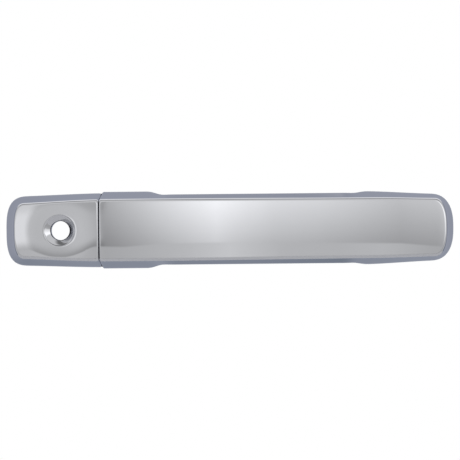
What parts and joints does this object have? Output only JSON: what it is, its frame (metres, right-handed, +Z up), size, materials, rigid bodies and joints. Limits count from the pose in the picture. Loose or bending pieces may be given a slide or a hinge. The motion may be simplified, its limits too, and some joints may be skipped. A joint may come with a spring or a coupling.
{
  "type": "car door handle",
  "caption": "Exterior pull handle for a car side door: hinged chromed grip, fixed end cap with key hole, and the bracket, lever and return spring behind the skin.",
  "frame": {"origin": "on the key cylinder's axis, where it crosses the outer plane of the door skin", "axes": "+X along the handle towards its front hinge, +Y into the door, +Z up"},
  "size_m": [0.238, 0.08, 0.0408],
  "materials": {
    "chrome_shell": "bright chrome plate, polished",
    "grip_moulding": "fine moulded grain",
    "filled_nylon": "glass-filled moulding",
    "zinc_screw": "bright zinc plate",
    "acetal": "natural, slightly waxy",
    "seal_rubber": "matt black",
    "bracket_casting": "die-cast, tumbled",
    "ground_steel": "ground",
    "spring_steel": "oiled spring wire",
    "lever_moulding": "glass-filled moulding",
    "brass": "turned",
    "cast_weight": "as cast, phosphated"
  },
  "bodies": {
    "bracket": {"end_cap": "chrome_shell", "cap_carrier": "filled_nylon", "cap_screws": "zinc_screw", "barrel_seal": "seal_rubber", "rear_gasket": "seal_rubber", "front_gasket": "seal_rubber", "bracket": "bracket_casting", "bolt_sleeves": "zinc_screw", "pivot_pin": "ground_steel", "pivot_pin_clip": "spring_steel", "bellcrank_pin": "ground_steel", "bellcrank_pin_clip": "spring_steel", "torsion_spring": "spring_steel", "clamp_bolt": "zinc_screw", "clamp_insert": "brass", "retaining_spring": "spring_steel", "cable_clip": "acetal", "guide_liner": "acetal"},
    "handle": {"grip_outer_shell": "chrome_shell", "grip_back_cover": "grip_moulding", "grip_core": "filled_nylon", "grip_screws": "zinc_screw", "pivot_bush": "acetal", "foot_bumper": "seal_rubber"},
    "bellcrank": {"bellcrank": "lever_moulding", "bellcrank_bushes": "brass", "pull_peg": "ground_steel", "counterweight": "cast_weight", "counterweight_rivet": "zinc_screw"}
  },
  "joints": [
    {"name": "handle_pull", "type": "hinge", "parent": "bracket", "child": "handle", "pos_m": [0.199, 0.012, 0], "axis": [0, 0, 1], "range_deg": [0, 9]},
    {"name": "bellcrank_turn", "type": "hinge", "parent": "bracket", "child": "bellcrank", "pos_m": [0.0584, 0.021, 0], "axis": [0, 0, 1], "range_deg": [0, 60], "stiffness_Nm_per_rad": 0.3, "springref_deg": -60.16, "deforming": ["torsion_spring"]}
  ],
  "couplings": [
    {"joint": "bellcrank_turn", "follows": "handle_pull", "ratio": 6.6667}
  ]
}
